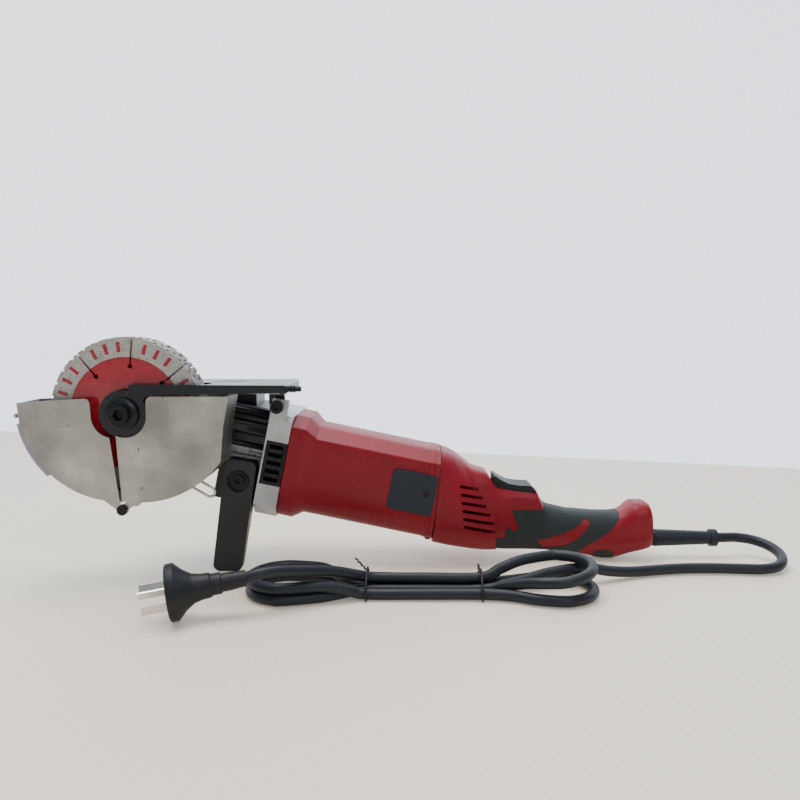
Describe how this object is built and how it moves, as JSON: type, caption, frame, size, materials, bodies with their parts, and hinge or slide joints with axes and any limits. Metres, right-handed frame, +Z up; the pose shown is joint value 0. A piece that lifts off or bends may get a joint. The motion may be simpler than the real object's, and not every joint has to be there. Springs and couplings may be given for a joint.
{
  "type": "wall chaser",
  "caption": "Wall chaser with stacked diamond discs on a spindle, a swinging guard, a tilted motor, a shoe, a side handle and a corded rear grip.",
  "frame": {"origin": "on the surface it lies on, under the middle of the tool without its cord", "axes": "+X from the discs towards the rear grip, -Y out of the side the discs are on, +Z up"},
  "size_m": [0.6589, 0.2261, 0.2052],
  "materials": {
    "disc_steel": "dark red lacquered steel core with a silver sintered rim",
    "ground_steel": "ground and turned steel",
    "black_steel": "black oxide steel",
    "laminated_iron": "varnished iron laminations",
    "copper": "enamelled copper",
    "brass_sheet": "bare brass sheet",
    "carbon": "pressed carbon, dull",
    "dark_casting": "light alloy casting in black paint, worn bright at the edges",
    "bare_casting": "sandblasted light alloy",
    "black_plate": "black paint on steel plate, worn bright at the edges",
    "guard_steel": "satin sheet steel with scratches and small dings",
    "lilac_strip": "lilac grey moulding",
    "red_housing": "satin red glass-filled nylon",
    "blue_grey_cap": "dark blue-grey moulding",
    "black_moulding": "black moulding",
    "grip_rubber": "dark grey-green soft rubber",
    "cord_rubber": "dark blue-grey cable sheath",
    "plug_rubber": "near-black moulded plug",
    "nickel": "nickel-plated brass pins"
  },
  "bodies": {
    "tool_body": {"gear_bearings": "ground_steel", "motor_bearings": "ground_steel", "gear_housing": "dark_casting", "transfer_case": "dark_casting", "transfer_cover": "bare_casting", "bearing_flange": "bare_casting", "vent_grilles": "black_moulding", "lug_bolt": "black_steel", "base_plate": "black_plate", "support_arm": "dark_casting", "arm_screws": "black_steel", "hose_barb": "black_moulding", "fixed_guard": "guard_steel", "guard_pin": "black_steel", "wire_loop": "ground_steel", "motor_housing": "red_housing", "stator_core": "laminated_iron", "stator_coils": "copper", "brush_covers": "blue_grey_cap", "brush_screws": "ground_steel", "brush_holders": "brass_sheet", "carbon_brushes": "carbon", "near_rear_shell": "red_housing", "far_rear_shell": "red_housing", "handle_grips": "grip_rubber", "shell_screws": "black_steel", "switch_body": "black_moulding", "cord_clamp": "black_moulding", "strain_relief": "cord_rubber", "side_handle": "dark_casting", "handle_bolt": "black_steel", "cord_lead": "cord_rubber", "cord_hank": "cord_rubber", "cord_ties": "black_moulding", "plug_body": "plug_rubber", "plug_pins": "nickel"},
    "disc_stack": {"blade_1": "disc_steel", "blade_2": "disc_steel", "blade_3": "disc_steel", "blade_4": "disc_steel", "blade_5": "disc_steel", "spindle": "ground_steel", "spindle_bolt": "black_steel", "outer_flange": "black_steel", "inner_flange": "black_steel", "blade_spacers": "ground_steel", "spindle_gear": "ground_steel"},
    "cross_shaft": {"cross_shaft": "ground_steel", "bevel_gear": "ground_steel", "drive_gear": "ground_steel"},
    "armature": {"armature_shaft": "ground_steel", "armature_core": "laminated_iron", "commutator": "copper", "cooling_fan": "black_moulding", "bevel_pinion": "ground_steel"},
    "swing_guard": {"swing_guard": "guard_steel", "door_catch": "guard_steel", "door_pin": "ground_steel"},
    "dust_door": {"dust_door": "lilac_strip"},
    "trigger": {"trigger": "blue_grey_cap"}
  },
  "joints": [
    {"name": "blade_spin", "type": "hinge", "parent": "tool_body", "child": "disc_stack", "pos_m": [-0.18306, -0.0397, 0.14267], "axis": [0, 1, 0], "continuous": true},
    {"name": "cross_shaft_spin", "type": "hinge", "parent": "tool_body", "child": "cross_shaft", "pos_m": [-0.15404, 0.0235, 0.10827], "axis": [0, 1, 0], "continuous": true},
    {"name": "armature_spin", "type": "hinge", "parent": "tool_body", "child": "armature", "pos_m": [-0.06003, 0.0235, 0.0888], "axis": [0.9792, 0, -0.2028], "continuous": true},
    {"name": "guard_swing", "type": "hinge", "parent": "tool_body", "child": "swing_guard", "pos_m": [-0.18523, -0.0425, 0.064], "axis": [0, -1, 0], "range_deg": [-3.7, 60]},
    {"name": "dust_door_swing", "type": "hinge", "parent": "swing_guard", "child": "dust_door", "pos_m": [-0.27078, -0.0425, 0.14104], "axis": [0, 1, 0], "range_deg": [0, 50]},
    {"name": "trigger_pull", "type": "hinge", "parent": "tool_body", "child": "trigger", "pos_m": [0.13147, 0.0235, 0.068], "axis": [0, 1, 0], "range_deg": [0, 7], "stiffness_Nm_per_rad": 1.2, "springref_deg": -8.59}
  ],
  "couplings": [
    {"joint": "cross_shaft_spin", "follows": "blade_spin", "ratio": -0.76471},
    {"joint": "armature_spin", "follows": "blade_spin", "ratio": -2.5722}
  ]
}
